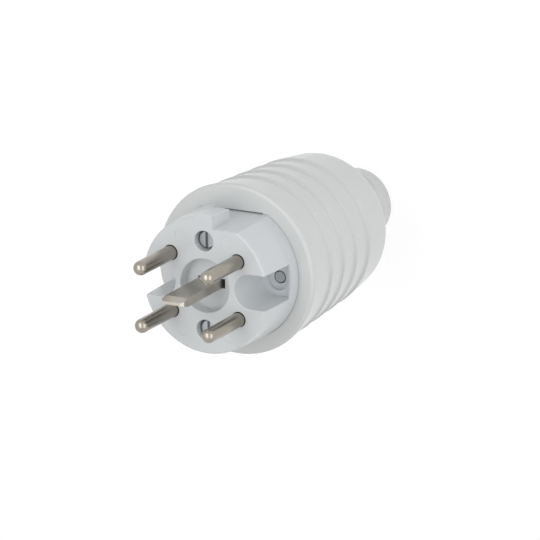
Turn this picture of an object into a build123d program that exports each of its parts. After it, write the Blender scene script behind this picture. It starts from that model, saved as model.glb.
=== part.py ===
"""Five-pin three-phase plug: a round grip housing, a moulded contact carrier, screw terminals, a cable clamp.

Millimetres. The origin is the centre of the neck's end face, +Z runs along the axis to the pin tips, +Y points
to the key on the carrier and +X to the side that has the notch.
"""
import os
from math import isclose, sqrt

from build123d import *

# Lengths along the axis
BODY_LENGTH = 113.0  # neck end to contact face
PIN_REACH = 22.6  # contact face to pin tips
CARRIER_PROUD = 21.2  # contact face to housing front
CARRIER_DEPTH = 9.8  # housing front to the back of the carrier
BASE_DEPTH = 17.0  # terminal base, front to back

# Housing
RIM_R = 30.7
RIM_ROUND = 1.2
GRIP_TAPER = 0.13  # radius lost for each millimetre of length
RING_COUNT = 4
RING_HEIGHT = 0.76
RING_RUN = 0.8  # length of the ramp at the front of each ring
RING_ROUND = 0.5
RING_FOOT_ROUND = 0.6
FIRST_RING = 16.3  # housing front to the first ring
RING_PITCH = 9.8
RING_PITCH_GROWTH = 0.4
LAST_GRIP_LENGTH = 16.2  # last ring to the shoulder
SHOULDER_ROUND = 3.4
NECK_LENGTH = 17.0
NECK_ROOT_R = 14.6
NECK_FLARE = 6.0
NECK_RING = 8.0  # neck end to the neck's ring
NECK_RING_R = 14.0
NECK_END_R = 12.8
NECK_END_ROUND = 1.4
WALL = 3.2
CABLE_R = 8.0
CABLE_EDGE = 0.6

# Contact carrier
FACE_R = 24.2
FACE_ROUND = 0.8
FACE_EDGE = 0.35  # rounds at the mouths of the grooves, the recess and the screw holes
COLLAR_R = 24.9
SLEEVE_GAP = 0.1  # collar to housing opening
GUIDE_DEPTH = 14.3  # contact face to the collar
KEY_HALF = 3.4
KEY_TOP = 25.3
KEY_BACK_TOP = 24.5
KEY_LENGTH = 12.0
NOTCH_Y = 20.3  # notch floor at the contact face
FLAT_Y = 21.1  # flat on the collar
FLAT_SLOT = 0.45  # slot in the housing above the flat, from the key to near the flat's end
FLAT_SLOT_END = 11.3
FLAT_SLOT_DEPTH = 5.0
GROOVE_HALF = 6.1
GROOVE_END = 11.5  # axis to the inner end of each guide groove
GROOVE_DEPTH = 16.5  # contact face to the lip across the mouth of the right groove
GROOVE_POCKET = 2.0  # floor of both grooves below that lip
GROOVE_LIP = 0.9
PEG_X = 18.2
PEG_R = 1.9
PEG_RING_R = 4.3
PEG_RING_DEPTH = 1.7
RECESS_R = 9.5
RECESS_DEPTH = 4.9
MARK_X = 9.0
MARK_Y = 16.7
MARK_R = 2.2
MARK_DEPTH = 0.2
CORE_R = 19.8
CORE_FLOOR = 3.2
CORE_WALL = 2.2

# Contacts
PIN_X = 13.0
PIN_Y = 10.2
PIN_R = 2.5
PIN_ROOT_R = 2.2  # inside the carrier
PIN_TIP_ROUND = 2.3
PIN_FLANGE_R = 3.6
PIN_FLANGE = 2.0
PIN_SHANK_R = 2.0
SHANK_REACH = 5.0  # into the terminal block
PIN_GAP = 0.55
BLADE_WIDTH = 8.6
BLADE_THICK = 3.0
BLADE_REACH = 22.4
BLADE_CHAMFER_LENGTH = 3.5
BLADE_CHAMFER = 1.0
BLADE_SLOT_END_GAP = 1.0
BLADE_SLOT_SIDE_GAP = 0.2
BLADE_SHOULDER = 12.4
BLADE_TAIL = 4.0

# Terminals
BLOCK_SIDE = 7.0
BLOCK_LENGTH = 11.5
BLOCK_EDGE = 0.4
BLOCK_SCREW_FROM_BACK = 3.2
TERMINAL_SCREW_R = 1.75
TERMINAL_HEAD_R = 2.8
TERMINAL_HEAD = 1.8
TERMINAL_SCREW_LENGTH = 3.0

# Terminal base
BASE_R = 21.3
BASE_PLATE = 3.0
DRIVER_R = 3.3

# Screws and nuts of the same thread
SCREW_R = 2.0
HEAD_R = 3.15
HEAD_HEIGHT = 2.6
HEAD_EDGE = 0.5
HEAD_SINK = 2.3  # contact face to the top of the head
COUNTERBORE_R = 3.6
FRONT_SCREW_Y = 15.8
FRONT_SCREW_LENGTH = 38.0
SLOT_WIDTH = 1.1
SLOT_DEPTH = 1.2
NUT_SIDE = 7.0
NUT_HEIGHT = 3.2
NUT_DROP = 4.6  # top of the pillar to the top of the nut
PILLAR_HALF = 5.2
PILLAR_HOLE = 15.0

# Cable clamp
CLAMP_Z = 37.0
CLAMP_WIDTH = 9.0
CLAMP_HALF = 17.0
CLAMP_SCREW_X = 11.8
CLAMP_LUG = 4.0
CLAMP_WALL = 3.6
CLAMP_GRIP_R = 6.2
SADDLE_DEPTH = 10.2
ARM_INNER = 10.5
ARM_OUTER = 15.5
ARM_DEPTH = 6.3

# Clearances
PRESS_GAP = 0.05
FIT_GAP = 0.2
PASS_GAP = 0.4

# Heights that follow from the lengths above
FACE_Z = BODY_LENGTH
FRONT_Z = FACE_Z - CARRIER_PROUD
COLLAR_Z = FACE_Z - GUIDE_DEPTH
LIP_Z = FACE_Z - GROOVE_DEPTH
POCKET_Z = LIP_Z - GROOVE_POCKET
PEG_Z = POCKET_Z - PEG_RING_DEPTH
CARRIER_BACK = FRONT_Z - CARRIER_DEPTH
PLATE_BACK = CARRIER_BACK - BASE_PLATE
BASE_BACK = CARRIER_BACK - BASE_DEPTH
BLOCK_BACK = PLATE_BACK - BLOCK_LENGTH
SHANK_END = PLATE_BACK - SHANK_REACH
FLANGE_TOP = CARRIER_BACK + PIN_FLANGE
RECESS_Z = FACE_Z - RECESS_DEPTH
HEAD_SEAT = FACE_Z - HEAD_SINK - HEAD_HEIGHT
TERMINAL_SCREW_Z = BLOCK_BACK + BLOCK_SCREW_FROM_BACK
CLAMP_MID = CLAMP_Z + CLAMP_WIDTH / 2
OPENING_R = COLLAR_R + SLEEVE_GAP
OPENING_FLAT = FLAT_Y + SLEEVE_GAP
BEYOND = 2.0 * RIM_R  # reach of cuts that run out of the part

PIN_PLACES = {
    "l1": (-PIN_X, PIN_Y),
    "l2": (PIN_X, PIN_Y),
    "l3": (-PIN_X, -PIN_Y),
    "n": (PIN_X, -PIN_Y),
}
SIDES = (-1, 1)


def rod(radius, low, high, x=0.0, y=0.0):
    """Round bar along Z between two heights."""
    return Pos(x, y, (low + high) / 2) * Cylinder(radius, high - low)


def bar(x, y, z):
    """Square bar between two corners, each axis given as a (low, high) pair."""
    middle = Pos((x[0] + x[1]) / 2, (y[0] + y[1]) / 2, (z[0] + z[1]) / 2)
    return middle * Box(x[1] - x[0], y[1] - y[0], z[1] - z[0])


def turned(points, rounds):
    """Solid of revolution about Z from a closed half section of (radius, height) points."""
    outline = FilletPolyline(*points, radius=rounds, close=True)
    return revolve(Plane.XZ * make_face(outline), Axis.Z)


def upright(flat, low, high):
    """A flat shape drawn from above, raised between two heights."""
    return Pos(0, 0, low) * extrude(flat, high - low)


def slotted_screw(shank_r, length, head_r, head_height):
    """Cheese-head screw with its seat at the origin, its head towards +Z and its slot along Y."""
    head = rod(head_r, 0, head_height)
    head = fillet(head.edges().sort_by(Axis.Z)[-1], HEAD_EDGE)
    slot = bar((-SLOT_WIDTH / 2, SLOT_WIDTH / 2), (-head_r, head_r), (head_height - SLOT_DEPTH, BEYOND))
    return head - slot + rod(shank_r, -length, 0)


def grip_stations():
    """Corners of the grip from the rim to the shoulder, with the round of each."""
    radius = RIM_R
    height = FRONT_Z
    corners = [((radius, height), RIM_ROUND)]
    length = FIRST_RING
    for ring in range(RING_COUNT):
        radius -= GRIP_TAPER * length
        height -= length
        corners.append(((radius + GRIP_TAPER * RING_RUN, height + RING_RUN), RING_FOOT_ROUND))
        radius += RING_HEIGHT
        corners.append(((radius, height), RING_ROUND))
        length = RING_PITCH + ring * RING_PITCH_GROWTH
    radius -= GRIP_TAPER * LAST_GRIP_LENGTH
    height -= LAST_GRIP_LENGTH
    corners.append(((radius, height), SHOULDER_ROUND))
    return corners


def housing():
    """Outer shell: saw-tooth grip, shoulder and neck, hollow, with two pillars for the front screws."""
    grip = grip_stations()
    shoulder_r, shoulder_z = grip[-1][0]
    neck_waist_r = NECK_RING_R - RING_HEIGHT
    corners = [((0, FRONT_Z), 0)] + grip
    corners += [
        ((NECK_ROOT_R, NECK_LENGTH), NECK_FLARE),
        ((neck_waist_r, NECK_RING + RING_RUN), RING_FOOT_ROUND),
        ((NECK_RING_R, NECK_RING), RING_ROUND),
        ((NECK_END_R, 0), NECK_END_ROUND),
        ((0, 0), 0),
    ]
    outside = turned([point for point, _ in corners], [size for _, size in corners])

    # The inner cone runs parallel to the outer one, a wall's thickness inside it
    run = shoulder_r - NECK_ROOT_R
    drop = shoulder_z - NECK_LENGTH
    lift = WALL * sqrt(run**2 + drop**2) / run
    chamber_r = shoulder_r - WALL
    chamber_z = shoulder_z - WALL * drop / run + lift
    throat_z = chamber_z - (chamber_r - CABLE_R) * drop / run
    cavity = turned(
        [
            (0, FRONT_Z + WALL),
            (OPENING_R, FRONT_Z + WALL),
            (OPENING_R, CARRIER_BACK),
            (chamber_r, chamber_z),
            (CABLE_R, throat_z),
            (CABLE_R, CABLE_EDGE),
            (CABLE_R + CABLE_EDGE, 0),
            (CABLE_R + CABLE_EDGE, -WALL),
            (0, -WALL),
        ],
        [0, 0, 0, SHOULDER_ROUND / 2, NECK_FLARE, 0, 0, 0, 0],
    )
    cavity -= bar((-BEYOND, BEYOND), (OPENING_FLAT, BEYOND), (-BEYOND, BODY_LENGTH))
    slot_z = (FRONT_Z - FLAT_SLOT_DEPTH, FRONT_Z + WALL)
    cavity += bar((-KEY_HALF, FLAT_SLOT_END), (FLAT_Y, FLAT_Y + FLAT_SLOT), slot_z)

    nut_top = CARRIER_BACK - NUT_DROP
    nut_half = NUT_SIDE / 2 + FIT_GAP
    nut_low = nut_top - NUT_HEIGHT - FIT_GAP
    for side in SIDES:
        column = Pos(0, side * FRONT_SCREW_Y) * Circle(PILLAR_HALF)
        column += Pos(0, side * (FRONT_SCREW_Y + BEYOND / 2)) * Rectangle(2 * PILLAR_HALF, BEYOND)
        pillar = upright(column, 0, CARRIER_BACK)
        pillar -= rod(SCREW_R + FIT_GAP, CARRIER_BACK - PILLAR_HOLE, BODY_LENGTH, 0, side * FRONT_SCREW_Y)
        nut_reach = sorted((0, side * (FRONT_SCREW_Y + nut_half)))
        pillar -= bar((-nut_half, nut_half), nut_reach, (nut_low, nut_top))
        cavity -= pillar
    return outside - cavity


def groove_outline(side, grow=0.0):
    """U-shaped guide groove seen from the face, open outwards, grown by a margin."""
    centre = GROOVE_END + GROOVE_HALF
    width = 2 * (GROOVE_HALF + grow)
    mouth = Pos(side * (centre + BEYOND / 2), 0) * Rectangle(BEYOND, width)
    return Pos(side * centre, 0) * Circle(GROOVE_HALF + grow) + mouth


def carrier_core():
    """Cored-out region behind the face: what is left between the bosses, the grooves and the outer wall."""
    region = Circle(CORE_R)
    for x, y in PIN_PLACES.values():
        region -= Pos(x, y) * Circle(PIN_FLANGE_R + FIT_GAP + CORE_WALL)
    for side in SIDES:
        region -= Pos(0, side * FRONT_SCREW_Y) * Circle(PILLAR_HALF)
        region -= groove_outline(side, CORE_WALL)
    region -= Rectangle(BLADE_SHOULDER + 2 * CORE_WALL, BLADE_THICK + 2 * CORE_WALL)
    return upright(region, CARRIER_BACK - WALL, RECESS_Z - CORE_FLOOR)


def contact_carrier():
    """Front moulding: keyed and notched guide body, collar, grooves, recess and the seats of the contacts."""
    body = turned(
        [(0, CARRIER_BACK), (COLLAR_R, CARRIER_BACK), (COLLAR_R, COLLAR_Z), (FACE_R, FACE_Z), (0, FACE_Z)],
        [0, 0, 0, FACE_ROUND, 0],
    )

    # The collar's flat spans the whole chord; the notch floor rises with the draft to meet it
    body -= bar((-BEYOND, BEYOND), (FLAT_Y, BEYOND), (CARRIER_BACK - WALL, COLLAR_Z))
    slope = (FLAT_Y - NOTCH_Y) / CARRIER_PROUD
    above = FACE_Z + WALL
    notch = Polyline(
        (NOTCH_Y - FACE_EDGE, above),
        (NOTCH_Y - FACE_EDGE, FACE_Z),
        (NOTCH_Y + slope * FACE_EDGE, FACE_Z - FACE_EDGE),
        (FLAT_Y, FRONT_Z),
        (BEYOND, FRONT_Z),
        (BEYOND, above),
        close=True,
    )
    body -= Pos(-KEY_HALF, 0, 0) * extrude(Plane.YZ * make_face(notch), BEYOND)

    # The key stands on the notch floor and falls away towards its back
    key_back = FACE_Z - KEY_LENGTH
    key_foot = NOTCH_Y - CORE_FLOOR
    side_on = Polyline(
        (key_foot, FACE_Z), (KEY_TOP, FACE_Z), (KEY_BACK_TOP, key_back), (key_foot, key_back), close=True
    )
    key = Pos(-KEY_HALF, 0, 0) * extrude(Plane.YZ * make_face(side_on), 2 * KEY_HALF)
    body += fillet(key.faces().sort_by(Axis.Y)[-1].edges(), FACE_EDGE)

    body -= carrier_core()
    for side in SIDES:
        body -= upright(groove_outline(side), POCKET_Z, FACE_Z + WALL)
        body -= rod(PEG_RING_R, PEG_Z, LIP_Z, side * PEG_X)
        body -= rod(PEG_R + PASS_GAP, CARRIER_BACK - WALL, LIP_Z, side * PEG_X)
        body -= rod(COUNTERBORE_R, HEAD_SEAT, FACE_Z + WALL, 0, side * FRONT_SCREW_Y)
        body -= rod(SCREW_R + FIT_GAP, CARRIER_BACK - WALL, FACE_Z, 0, side * FRONT_SCREW_Y)
        for other in SIDES:
            body -= rod(MARK_R, FACE_Z - MARK_DEPTH, FACE_Z + WALL, side * MARK_X, other * MARK_Y)
    # The groove on the notch's side keeps a low lip across its mouth
    lip = upright(Circle(COLLAR_R) - Circle(COLLAR_R - GROOVE_LIP), POCKET_Z, LIP_Z)
    body += lip & upright(groove_outline(SIDES[-1]), POCKET_Z, LIP_Z)
    for x, y in PIN_PLACES.values():
        body -= rod(PIN_ROOT_R + PIN_GAP, CARRIER_BACK - WALL, FACE_Z + WALL, x, y)
        body -= rod(PIN_FLANGE_R + FIT_GAP, CARRIER_BACK - WALL, FLANGE_TOP, x, y)

    body -= rod(RECESS_R, RECESS_Z, FACE_Z + WALL)
    mouths = (GROOVE_HALF, COUNTERBORE_R, RECESS_R)
    arcs = body.edges().filter_by(GeomType.CIRCLE).group_by(Axis.Z)[-1]
    rounded = [arc for arc in arcs if any(isclose(arc.radius, mouth, rel_tol=0.001) for mouth in mouths)]
    body = fillet(rounded, FACE_EDGE)
    slot_half = BLADE_WIDTH / 2 + BLADE_SLOT_END_GAP
    side_half = BLADE_THICK / 2 + BLADE_SLOT_SIDE_GAP
    shoulder_half = BLADE_SHOULDER / 2 + FIT_GAP
    body -= bar((-slot_half, slot_half), (-side_half, side_half), (CARRIER_BACK - WALL, FACE_Z))
    body -= bar((-shoulder_half, shoulder_half), (-side_half, side_half), (CARRIER_BACK - WALL, FLANGE_TOP))
    return body


def pin():
    """Turned contact pin on the axis: round-ended pin, root and flange in the carrier, shank for the block."""
    front = rod(PIN_R, FACE_Z, FACE_Z + PIN_REACH)
    front = fillet(front.edges().sort_by(Axis.Z)[-1], PIN_TIP_ROUND)
    root = rod(PIN_ROOT_R, FLANGE_TOP, FACE_Z) + rod(PIN_FLANGE_R, CARRIER_BACK, FLANGE_TOP)
    return front + root + rod(PIN_SHANK_R, SHANK_END, CARRIER_BACK)


def earth_blade():
    """Flat contact with a wedge-shaped tip, a shoulder behind the carrier and a tail for its block."""
    half = BLADE_WIDTH / 2
    thick = BLADE_THICK / 2
    tip = FACE_Z + BLADE_REACH
    shoulder = BLADE_SHOULDER / 2
    tail = BLADE_TAIL / 2
    side_on = Polyline(
        (-thick, SHANK_END),
        (thick, SHANK_END),
        (thick, tip - BLADE_CHAMFER_LENGTH),
        (thick - BLADE_CHAMFER, tip),
        (BLADE_CHAMFER - thick, tip),
        (-thick, tip - BLADE_CHAMFER_LENGTH),
        close=True,
    )
    wedge = Pos(-shoulder, 0, 0) * extrude(Plane.YZ * make_face(side_on), 2 * shoulder)
    plan = bar((-half, half), (-thick, thick), (CARRIER_BACK, tip))
    corners = plan.edges().filter_by(Axis.Y).group_by(Axis.Z)[-1]
    plan = chamfer(corners, BLADE_CHAMFER)
    plan += bar((-shoulder, shoulder), (-thick, thick), (CARRIER_BACK, FLANGE_TOP))
    plan += bar((-tail, tail), (-thick, thick), (SHANK_END, CARRIER_BACK))
    return wedge & plan


def terminal_block():
    """Brass clamp block on the axis, bored through, with its screw hole on the +X side."""
    half = BLOCK_SIDE / 2
    body = bar((-half, half), (-half, half), (BLOCK_BACK, PLATE_BACK))
    body = chamfer(body.edges().filter_by(Axis.Z), BLOCK_EDGE)
    body -= rod(PIN_SHANK_R + PRESS_GAP, BLOCK_BACK - WALL, PLATE_BACK + WALL)
    return body - screw_way()


def screw_way():
    """Tapped hole of a clamp block, from its bore out through its +X side."""
    return Pos(0, 0, TERMINAL_SCREW_Z) * Rot(0, 90, 0) * rod(TERMINAL_SCREW_R + PRESS_GAP, 0, BLOCK_SIDE)


def earth_terminal():
    """Clamp block of the earth blade: the same block, slotted in front for the blade's tail."""
    tail = BLADE_TAIL / 2 + PRESS_GAP
    thick = BLADE_THICK / 2 + PRESS_GAP
    return terminal_block() - bar((-tail, tail), (-thick, thick), (SHANK_END - PRESS_GAP, PLATE_BACK + WALL))


def terminal_screw():
    """Clamp screw of the block on the axis, entering from its +X side."""
    screw = slotted_screw(TERMINAL_SCREW_R, TERMINAL_SCREW_LENGTH, TERMINAL_HEAD_R, TERMINAL_HEAD)
    return Pos(BLOCK_SIDE / 2, 0, TERMINAL_SCREW_Z) * Rot(0, 90, 0) * screw


def facing_out(x, y):
    """Place of a terminal at a pin, turned so that its screw faces the near side of the plug."""
    return Pos(x, y, 0) * Rot(0, 0, 180 if x < 0 else 0)


def terminal_base():
    """Rear moulding: plate with two pegs, terminal pockets open to the sides, arms and the cable saddle."""
    body = rod(BASE_R, BASE_BACK, CARRIER_BACK)
    pocket = BLOCK_SIDE / 2 + FIT_GAP
    for x, y in PIN_PLACES.values():
        reach = sorted((x - pocket * x / abs(x), BEYOND * x / abs(x)))
        body -= bar(reach, (y - pocket, y + pocket), (BASE_BACK - WALL, PLATE_BACK))
        body -= rod(PIN_SHANK_R + FIT_GAP, PLATE_BACK - WALL, CARRIER_BACK + WALL, x, y)
    body -= bar((-pocket, pocket), (-pocket, pocket), (BASE_BACK - WALL, PLATE_BACK))
    body -= Pos(0, 0, TERMINAL_SCREW_Z) * Rot(0, 90, 0) * rod(DRIVER_R, 0, BEYOND)
    tail = BLADE_TAIL / 2 + FIT_GAP
    thick = BLADE_THICK / 2 + FIT_GAP
    body -= bar((-tail, tail), (-thick, thick), (PLATE_BACK - WALL, CARRIER_BACK + WALL))

    way = PILLAR_HALF + PASS_GAP
    for side in SIDES:
        body -= rod(way, BASE_BACK - WALL, CARRIER_BACK + WALL, 0, side * FRONT_SCREW_Y)
        beyond = sorted((side * FRONT_SCREW_Y, side * BEYOND))
        body -= bar((-way, way), beyond, (BASE_BACK - WALL, CARRIER_BACK + WALL))
        body += rod(PEG_R, CARRIER_BACK, PEG_Z, side * PEG_X)
        arm = sorted((side * ARM_INNER, side * ARM_OUTER))
        body += bar(arm, (-ARM_DEPTH, 0), (CLAMP_Z + CLAMP_WIDTH, BASE_BACK))
    return body + cable_saddle()


def cable_saddle():
    """Lower half of the cable clamp, with a nut pocket under each screw."""
    body = bar((-CLAMP_HALF, CLAMP_HALF), (-SADDLE_DEPTH, 0), (CLAMP_Z, CLAMP_Z + CLAMP_WIDTH))
    body -= rod(CLAMP_GRIP_R, CLAMP_Z - WALL, CLAMP_Z + CLAMP_WIDTH + WALL)
    half = NUT_SIDE / 2 + FIT_GAP
    pocket_top = NUT_HEIGHT - SADDLE_DEPTH
    for side in SIDES:
        x = side * CLAMP_SCREW_X
        body -= Pos(x, 0, CLAMP_MID) * Rot(-90, 0, 0) * rod(SCREW_R + FIT_GAP, -BEYOND, BEYOND)
        body -= bar((x - half, x + half), (-BEYOND, pocket_top), (CLAMP_MID - half, CLAMP_MID + half))
    return body


def cable_clamp_bridge():
    """Upper half of the cable clamp: an arch between two screw lugs."""
    arch = Circle(CLAMP_GRIP_R + CLAMP_WALL) + Pos(0, CLAMP_LUG / 2) * Rectangle(2 * CLAMP_HALF, CLAMP_LUG)
    arch -= Circle(CLAMP_GRIP_R)
    arch -= Pos(0, -BEYOND / 2) * Rectangle(BEYOND, BEYOND)
    body = upright(arch, CLAMP_Z, CLAMP_Z + CLAMP_WIDTH)
    screw_room = rod(SCREW_R + FIT_GAP, -BEYOND, BEYOND) + rod(HEAD_R + FIT_GAP, CLAMP_LUG, BEYOND)
    for side in SIDES:
        body -= Pos(side * CLAMP_SCREW_X, 0, CLAMP_MID) * Rot(-90, 0, 0) * screw_room
    return body


def square_nut():
    """Square nut standing on the origin, its thread's axis along Z."""
    nut = Pos(0, 0, NUT_HEIGHT / 2) * Box(NUT_SIDE, NUT_SIDE, NUT_HEIGHT)
    return nut - rod(SCREW_R + PRESS_GAP, -WALL, NUT_HEIGHT + WALL)


def front_screws():
    """The two screws sunk in the face."""
    screw = slotted_screw(SCREW_R, FRONT_SCREW_LENGTH, HEAD_R, HEAD_HEIGHT)
    return [Pos(0, side * FRONT_SCREW_Y, HEAD_SEAT) * screw for side in SIDES]


def front_screw_nuts():
    """The nuts of the front screws, up against the tops of their slots in the pillars."""
    bottom = CARRIER_BACK - NUT_DROP - NUT_HEIGHT
    return [Pos(0, side * FRONT_SCREW_Y, bottom) * square_nut() for side in SIDES]


def cable_clamp_screws():
    """The screws of the cable clamp, their heads on the bridge's lugs."""
    length = CLAMP_LUG + SADDLE_DEPTH - FIT_GAP
    screw = Rot(-90, 0, 0) * slotted_screw(SCREW_R, length, HEAD_R, HEAD_HEIGHT)
    return [Pos(side * CLAMP_SCREW_X, CLAMP_LUG, CLAMP_MID) * screw for side in SIDES]


def cable_clamp_nuts():
    """The nuts of the cable clamp, at the tops of their pockets in the saddle."""
    nut = Rot(-90, 0, 0) * square_nut()
    return [Pos(side * CLAMP_SCREW_X, -SADDLE_DEPTH, CLAMP_MID) * nut for side in SIDES]


def terminal_screws():
    """The five clamp screws, one in each block."""
    places = [facing_out(x, y) for x, y in PIN_PLACES.values()] + [Pos(0, 0, 0)]
    return [place * terminal_screw() for place in places]


def pieces():
    """Every piece of the plug by name; a list is a set of like pieces under one name."""
    made = {
        "housing": housing(),
        "contact_carrier": contact_carrier(),
        "terminal_base": terminal_base(),
        "earth_blade": earth_blade(),
        "terminal_earth": earth_terminal(),
        "cable_clamp_bridge": cable_clamp_bridge(),
        "front_screws": front_screws(),
        "front_screw_nuts": front_screw_nuts(),
        "cable_clamp_screws": cable_clamp_screws(),
        "cable_clamp_nuts": cable_clamp_nuts(),
        "terminal_screws": terminal_screws(),
    }
    for name, (x, y) in PIN_PLACES.items():
        made["pin_" + name] = Pos(x, y, 0) * pin()
        made["terminal_" + name] = facing_out(x, y) * terminal_block()
    return made


os.makedirs("parts", exist_ok=True)
for piece_name, shape in pieces().items():
    solid = Compound(children=shape) if isinstance(shape, list) else shape
    export_step(solid, os.path.join("parts", piece_name + ".step"))
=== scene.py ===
"""Studio picture of a five-pin three-phase plug: finishes, light, floor and camera around the CAD frame.

Metres, in the plug's own frame: the neck's end stands on the floor at z = 0 and the pins point up along +Z.
"""
from math import cos, radians, sin

import bpy
from mathutils import Matrix, Vector

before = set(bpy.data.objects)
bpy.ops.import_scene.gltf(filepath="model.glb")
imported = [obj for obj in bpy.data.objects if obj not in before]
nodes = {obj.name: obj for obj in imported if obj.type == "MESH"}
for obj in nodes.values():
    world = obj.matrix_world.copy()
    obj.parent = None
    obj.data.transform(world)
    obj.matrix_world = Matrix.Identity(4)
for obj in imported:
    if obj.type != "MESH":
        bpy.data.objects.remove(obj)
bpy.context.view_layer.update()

MM = 0.001

# Pieces that share a finish
PINS = ("pin_l1", "pin_l2", "pin_l3", "pin_n")
TERMINALS = ("terminal_l1", "terminal_l2", "terminal_l3", "terminal_n", "terminal_earth")
SCREWS_AND_NUTS = (
    "front_screws",
    "front_screw_nuts",
    "cable_clamp_screws",
    "cable_clamp_nuts",
    "terminal_screws",
)

# Picture: 540 x 540, the photograph's frame
IMAGE_SIZE = 540
SENSOR_WIDTH = 36.0
FOCAL_PIXELS = 4829.0
VIEW_END = 20.0
CAMERA_AT = Vector((785.4, 483.9, 1469.6)) * MM
TOWARDS_CAMERA = Vector((0.46735, 0.29209, 0.83443))
PICTURE_UP = Vector((-0.12654, 0.95623, -0.26385))
PICTURE_RIGHT = PICTURE_UP.cross(TOWARDS_CAMERA)

# Softboxes of one width and height stand at one distance around a point of the plug
LIT_POINT = Vector((0, 0, 80)) * MM
BOX_DISTANCE = 1.2
BOX_SIZE = (0.8, 1.4)

# Surround and floor
SURROUND_LIGHT = 0.40  # the light that the white surround sheds, as a share of full white
FLOOR_HALF = 3.0
FLOOR_GLOW = 1.1
FLOOR_GLOW_SHARE = 0.8  # share of the glow in what is seen of the floor; the rest is paper, with its shadow

# Colours, linear
HOUSING_GREY = (0.690, 0.705, 0.700, 1)
HOUSING_GREY_DEEP = (0.655, 0.670, 0.665, 1)
CARRIER_GREY = (0.690, 0.715, 0.730, 1)
CARRIER_GREY_DEEP = (0.655, 0.680, 0.698, 1)
BASE_GREY = (0.450, 0.470, 0.475, 1)
BASE_GREY_DEEP = (0.420, 0.440, 0.445, 1)
NICKEL = (0.390, 0.360, 0.315, 1)
NICKEL_DULL = (0.300, 0.275, 0.232, 1)
BLADE_NICKEL = (0.530, 0.500, 0.450, 1)
BLADE_NICKEL_DULL = (0.420, 0.392, 0.348, 1)
ZINC = (0.430, 0.450, 0.470, 1)
ZINC_DULL = (0.300, 0.318, 0.338, 1)
BRASS = (0.620, 0.430, 0.160, 1)
BRASS_DULL = (0.480, 0.310, 0.110, 1)
PAPER_WHITE = (0.900, 0.900, 0.900, 1)
PURE_WHITE = (1, 1, 1, 1)

# Moulded plastic; waves are per metre
CLOUD_WAVES = 55
GRAIN_WAVES = 3200
GRAIN_HEIGHT = 0.02 * MM
HOUSING_GRAIN = 0.15
SMOOTH_GRAIN = 0.05
SWELL_WAVES = 170
SWELL_HEIGHT = 0.25 * MM
SWELL_STRENGTH = 0.08
PLASTIC_ROUGHNESS = 0.19
GRAIN_ROUGHNESS = 0.10  # added at the grain's high points

# Metal; waves are per metre
PATCH_WAVES = 160
PATCH_ROUGHNESS = 0.12  # added on dull patches
MARK_WAVES = 900
MARK_HEIGHT = 0.01 * MM
MARK_STRENGTH = 0.06
MARK_ROUGHNESS = 0.06  # added along tool marks
MARKS_AROUND = (0.25, 0.25, 5)  # stretch of tool marks that run around the axis
MARKS_ALONG = (5, 5, 0.2)  # stretch of tool marks that run along the axis
TURNED_ROUGHNESS = 0.16
STAMPED_ROUGHNESS = 0.24
ZINC_ROUGHNESS = 0.22
BRASS_ROUGHNESS = 0.25

# Colour sockets of a Mix node, by number, because its other kinds of socket have the same names
MIX_FIRST = 6
MIX_SECOND = 7
MIX_RESULT = 2


class Wire:
    """One socket of a node tree. Arithmetic on wires adds Math nodes, and node() adds any other node."""

    def __init__(self, tree, socket=None):
        self.tree = tree
        self.socket = socket

    def node(self, kind, settings=None, inputs=None, output=0):
        """Adds a node: its settings, then the values or wires of its sockets. Gives one of its outputs."""
        made = self.tree.nodes.new(kind)
        for name, value in (settings or {}).items():
            setattr(made, name, value)
        for name, value in (inputs or {}).items():
            self.feed(made.inputs[name], value)
        return Wire(self.tree, made.outputs[output] if made.outputs else None)

    def feed(self, socket, value):
        """Links a wire to a socket, or sets the socket to a value."""
        if isinstance(value, Wire):
            self.tree.links.new(value.socket, socket)
        else:
            socket.default_value = value

    def math(self, operation, first, second):
        """One Math node on two wires or numbers."""
        return self.node("ShaderNodeMath", {"operation": operation}, {0: first, 1: second})

    def __add__(self, other):
        return self.math("ADD", self, other)

    def __radd__(self, other):
        return self.math("ADD", other, self)

    def __mul__(self, other):
        return self.math("MULTIPLY", self, other)

    def __rmul__(self, other):
        return self.math("MULTIPLY", other, self)

    def blend(self, first, second):
        """The colour between two others that this value, from 0 to 1, picks."""
        inputs = {"Factor": self, MIX_FIRST: first, MIX_SECOND: second}
        return self.node("ShaderNodeMix", {"data_type": "RGBA"}, inputs, output=MIX_RESULT)


class Finish:
    """A new material, with its surface shader and the object's own coordinates ready to use."""

    def __init__(self, name):
        self.material = bpy.data.materials.new(name)
        self.material.use_nodes = True
        tree = self.material.node_tree
        self.shader = tree.nodes["Principled BSDF"]
        self.start = Wire(tree)
        self.place = self.start.node("ShaderNodeTexCoord", output="Object")

    def noise(self, waves, detail, stretch=(1, 1, 1)):
        """Noise from 0 to 1, of so many waves per metre."""
        mapped = self.start.node("ShaderNodeMapping", None, {"Vector": self.place, "Scale": stretch})
        inputs = {"Vector": mapped, "Scale": waves, "Detail": detail}
        return self.start.node("ShaderNodeTexNoise", None, inputs)

    def bump(self, height, strength, distance, below=None):
        """Surface direction from a height, laid over another one where that is given."""
        inputs = {"Height": height, "Strength": strength, "Distance": distance}
        if below is not None:
            inputs["Normal"] = below
        return self.start.node("ShaderNodeBump", None, inputs)

    def set(self, **inputs):
        """Feeds the surface shader's sockets; an underscore in a name stands for a space."""
        for name, value in inputs.items():
            self.start.feed(self.shader.inputs[name.replace("_", " ")], value)
        return self.material


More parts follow.
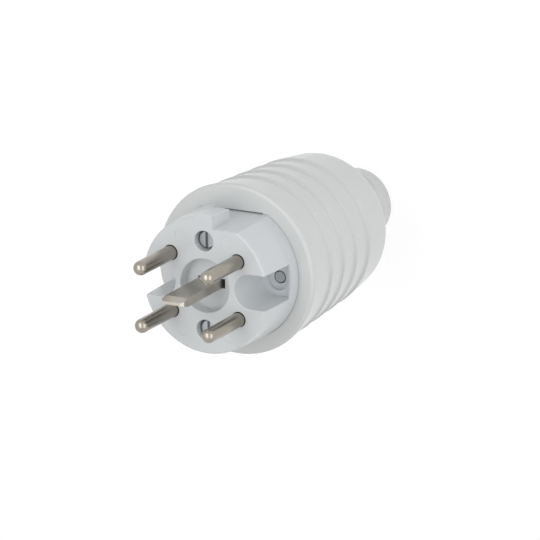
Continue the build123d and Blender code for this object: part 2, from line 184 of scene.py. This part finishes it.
def moulded_plastic(name, tone, deep_tone, grain):
    """Satin moulded plastic: faint clouds in the colour, a fine spark-eroded grain, a slow unevenness."""
    finish = Finish(name)
    clouds = finish.noise(CLOUD_WAVES, detail=3)
    fine = finish.noise(GRAIN_WAVES, detail=2)
    swell = finish.noise(SWELL_WAVES, detail=1)
    bumps = finish.bump(fine, grain, GRAIN_HEIGHT)
    bumps = finish.bump(swell, SWELL_STRENGTH, SWELL_HEIGHT, below=bumps)
    return finish.set(
        Base_Color=clouds.blend(tone, deep_tone),
        Roughness=PLASTIC_ROUGHNESS + GRAIN_ROUGHNESS * fine,
        Normal=bumps,
    )


def worked_metal(name, tone, dull_tone, roughness, mark_stretch):
    """Plated or plain metal: dull patches, fine lines left by the tool and uneven gloss."""
    finish = Finish(name)
    patches = finish.noise(PATCH_WAVES, detail=4)
    lines = finish.noise(MARK_WAVES, detail=2, stretch=mark_stretch)
    return finish.set(
        Base_Color=patches.blend(tone, dull_tone),
        Metallic=1.0,
        Roughness=roughness + PATCH_ROUGHNESS * patches + MARK_ROUGHNESS * lines,
        Normal=finish.bump(lines, MARK_STRENGTH, MARK_HEIGHT),
    )


def dress(material, *names):
    """Gives CAD pieces their finish."""
    for name in names:
        piece = nodes[name]
        piece.data.materials.clear()
        piece.data.materials.append(material)


def dress_plug():
    """Gives every piece of the plug its finish."""
    housing_plastic = moulded_plastic("housing_plastic", HOUSING_GREY, HOUSING_GREY_DEEP, HOUSING_GRAIN)
    dress(housing_plastic, "housing")
    carrier_plastic = moulded_plastic("carrier_plastic", CARRIER_GREY, CARRIER_GREY_DEEP, SMOOTH_GRAIN)
    dress(carrier_plastic, "contact_carrier")
    base_plastic = moulded_plastic("base_plastic", BASE_GREY, BASE_GREY_DEEP, SMOOTH_GRAIN)
    dress(base_plastic, "terminal_base", "cable_clamp_bridge")
    turned_nickel = worked_metal("turned_nickel", NICKEL, NICKEL_DULL, TURNED_ROUGHNESS, MARKS_AROUND)
    dress(turned_nickel, *PINS)
    stamped_nickel = worked_metal(
        "stamped_nickel", BLADE_NICKEL, BLADE_NICKEL_DULL, STAMPED_ROUGHNESS, MARKS_ALONG
    )
    dress(stamped_nickel, "earth_blade")
    zinc_plate = worked_metal("zinc_plate", ZINC, ZINC_DULL, ZINC_ROUGHNESS, MARKS_ALONG)
    dress(zinc_plate, *SCREWS_AND_NUTS)
    plain_brass = worked_metal("plain_brass", BRASS, BRASS_DULL, BRASS_ROUGHNESS, MARKS_ALONG)
    dress(plain_brass, *TERMINALS)


def seen_or_mirrored(start):
    """1 for rays from the camera, off a glossy surface or through glass, and 0 for all others."""
    seen = start.node("ShaderNodeLightPath", output="Is Camera Ray")
    mirrored = start.node("ShaderNodeLightPath", output="Is Glossy Ray")
    through = start.node("ShaderNodeLightPath", output="Is Transmission Ray")
    return start.math("MAXIMUM", seen, start.math("MAXIMUM", mirrored, through))


def add_floor():
    """Pale floor under the neck: white to the camera and in reflections, and still shaded by the plug."""
    mesh = bpy.data.meshes.new("floor")
    corners = [(x * FLOOR_HALF, y * FLOOR_HALF, 0) for x, y in ((-1, -1), (1, -1), (1, 1), (-1, 1))]
    mesh.from_pydata(corners, [], [(0, 1, 2, 3)])
    floor = bpy.data.objects.new("floor", mesh)
    bpy.context.scene.collection.objects.link(floor)
    material = bpy.data.materials.new("floor_paper")
    material.use_nodes = True
    tree = material.node_tree
    tree.nodes.clear()
    start = Wire(tree)
    paper = start.node("ShaderNodeBsdfDiffuse", None, {"Color": PAPER_WHITE})
    glow = start.node("ShaderNodeEmission", None, {"Color": PURE_WHITE, "Strength": FLOOR_GLOW})
    share = FLOOR_GLOW_SHARE * seen_or_mirrored(start)
    mixed = start.node("ShaderNodeMixShader", None, {"Fac": share, 1: paper, 2: glow})
    start.node("ShaderNodeOutputMaterial", None, {"Surface": mixed})
    mesh.materials.append(material)


def add_world():
    """Even white surround, at full white where the camera or a reflection sees it."""
    world = bpy.data.worlds.new("white_tent")
    bpy.context.scene.world = world
    world.use_nodes = True
    tree = world.node_tree
    tree.nodes.clear()
    start = Wire(tree)
    level = SURROUND_LIGHT + (1 - SURROUND_LIGHT) * seen_or_mirrored(start)
    glow = start.node("ShaderNodeBackground", None, {"Color": PURE_WHITE, "Strength": level})
    start.node("ShaderNodeOutputWorld", None, {"Surface": glow})


def add_softbox(name, to_right, to_top, power):
    """Softbox turned away from the camera's line by two angles, in degrees, as seen in the picture."""
    lamp = bpy.data.lights.new(name, "AREA")
    lamp.shape = "RECTANGLE"
    lamp.size, lamp.size_y = BOX_SIZE
    lamp.energy = power
    level = sin(radians(to_right)) * PICTURE_RIGHT + cos(radians(to_right)) * TOWARDS_CAMERA
    away = cos(radians(to_top)) * level + sin(radians(to_top)) * PICTURE_UP
    across = PICTURE_UP.cross(away).normalized()
    turn = Matrix((across, away.cross(across), away)).transposed()
    holder = bpy.data.objects.new(name, lamp)
    holder.matrix_world = Matrix.Translation(LIT_POINT + BOX_DISTANCE * away) @ turn.to_4x4()
    bpy.context.scene.collection.objects.link(holder)


def add_camera():
    """Camera at the photograph's viewpoint."""
    lens = bpy.data.cameras.new("camera")
    lens.sensor_width = SENSOR_WIDTH
    lens.lens = FOCAL_PIXELS * SENSOR_WIDTH / IMAGE_SIZE
    lens.clip_end = VIEW_END
    camera = bpy.data.objects.new("camera", lens)
    turn = Matrix((PICTURE_RIGHT, PICTURE_UP, TOWARDS_CAMERA)).transposed()
    camera.matrix_world = Matrix.Translation(CAMERA_AT) @ turn.to_4x4()
    bpy.context.scene.collection.objects.link(camera)
    bpy.context.scene.camera = camera


dress_plug()
add_floor()
add_world()
add_softbox("left_box", to_right=-36, to_top=0, power=6.8)
add_softbox("right_box", to_right=34, to_top=-3, power=5.2)
add_camera()
bpy.context.scene.view_settings.view_transform = "Standard"
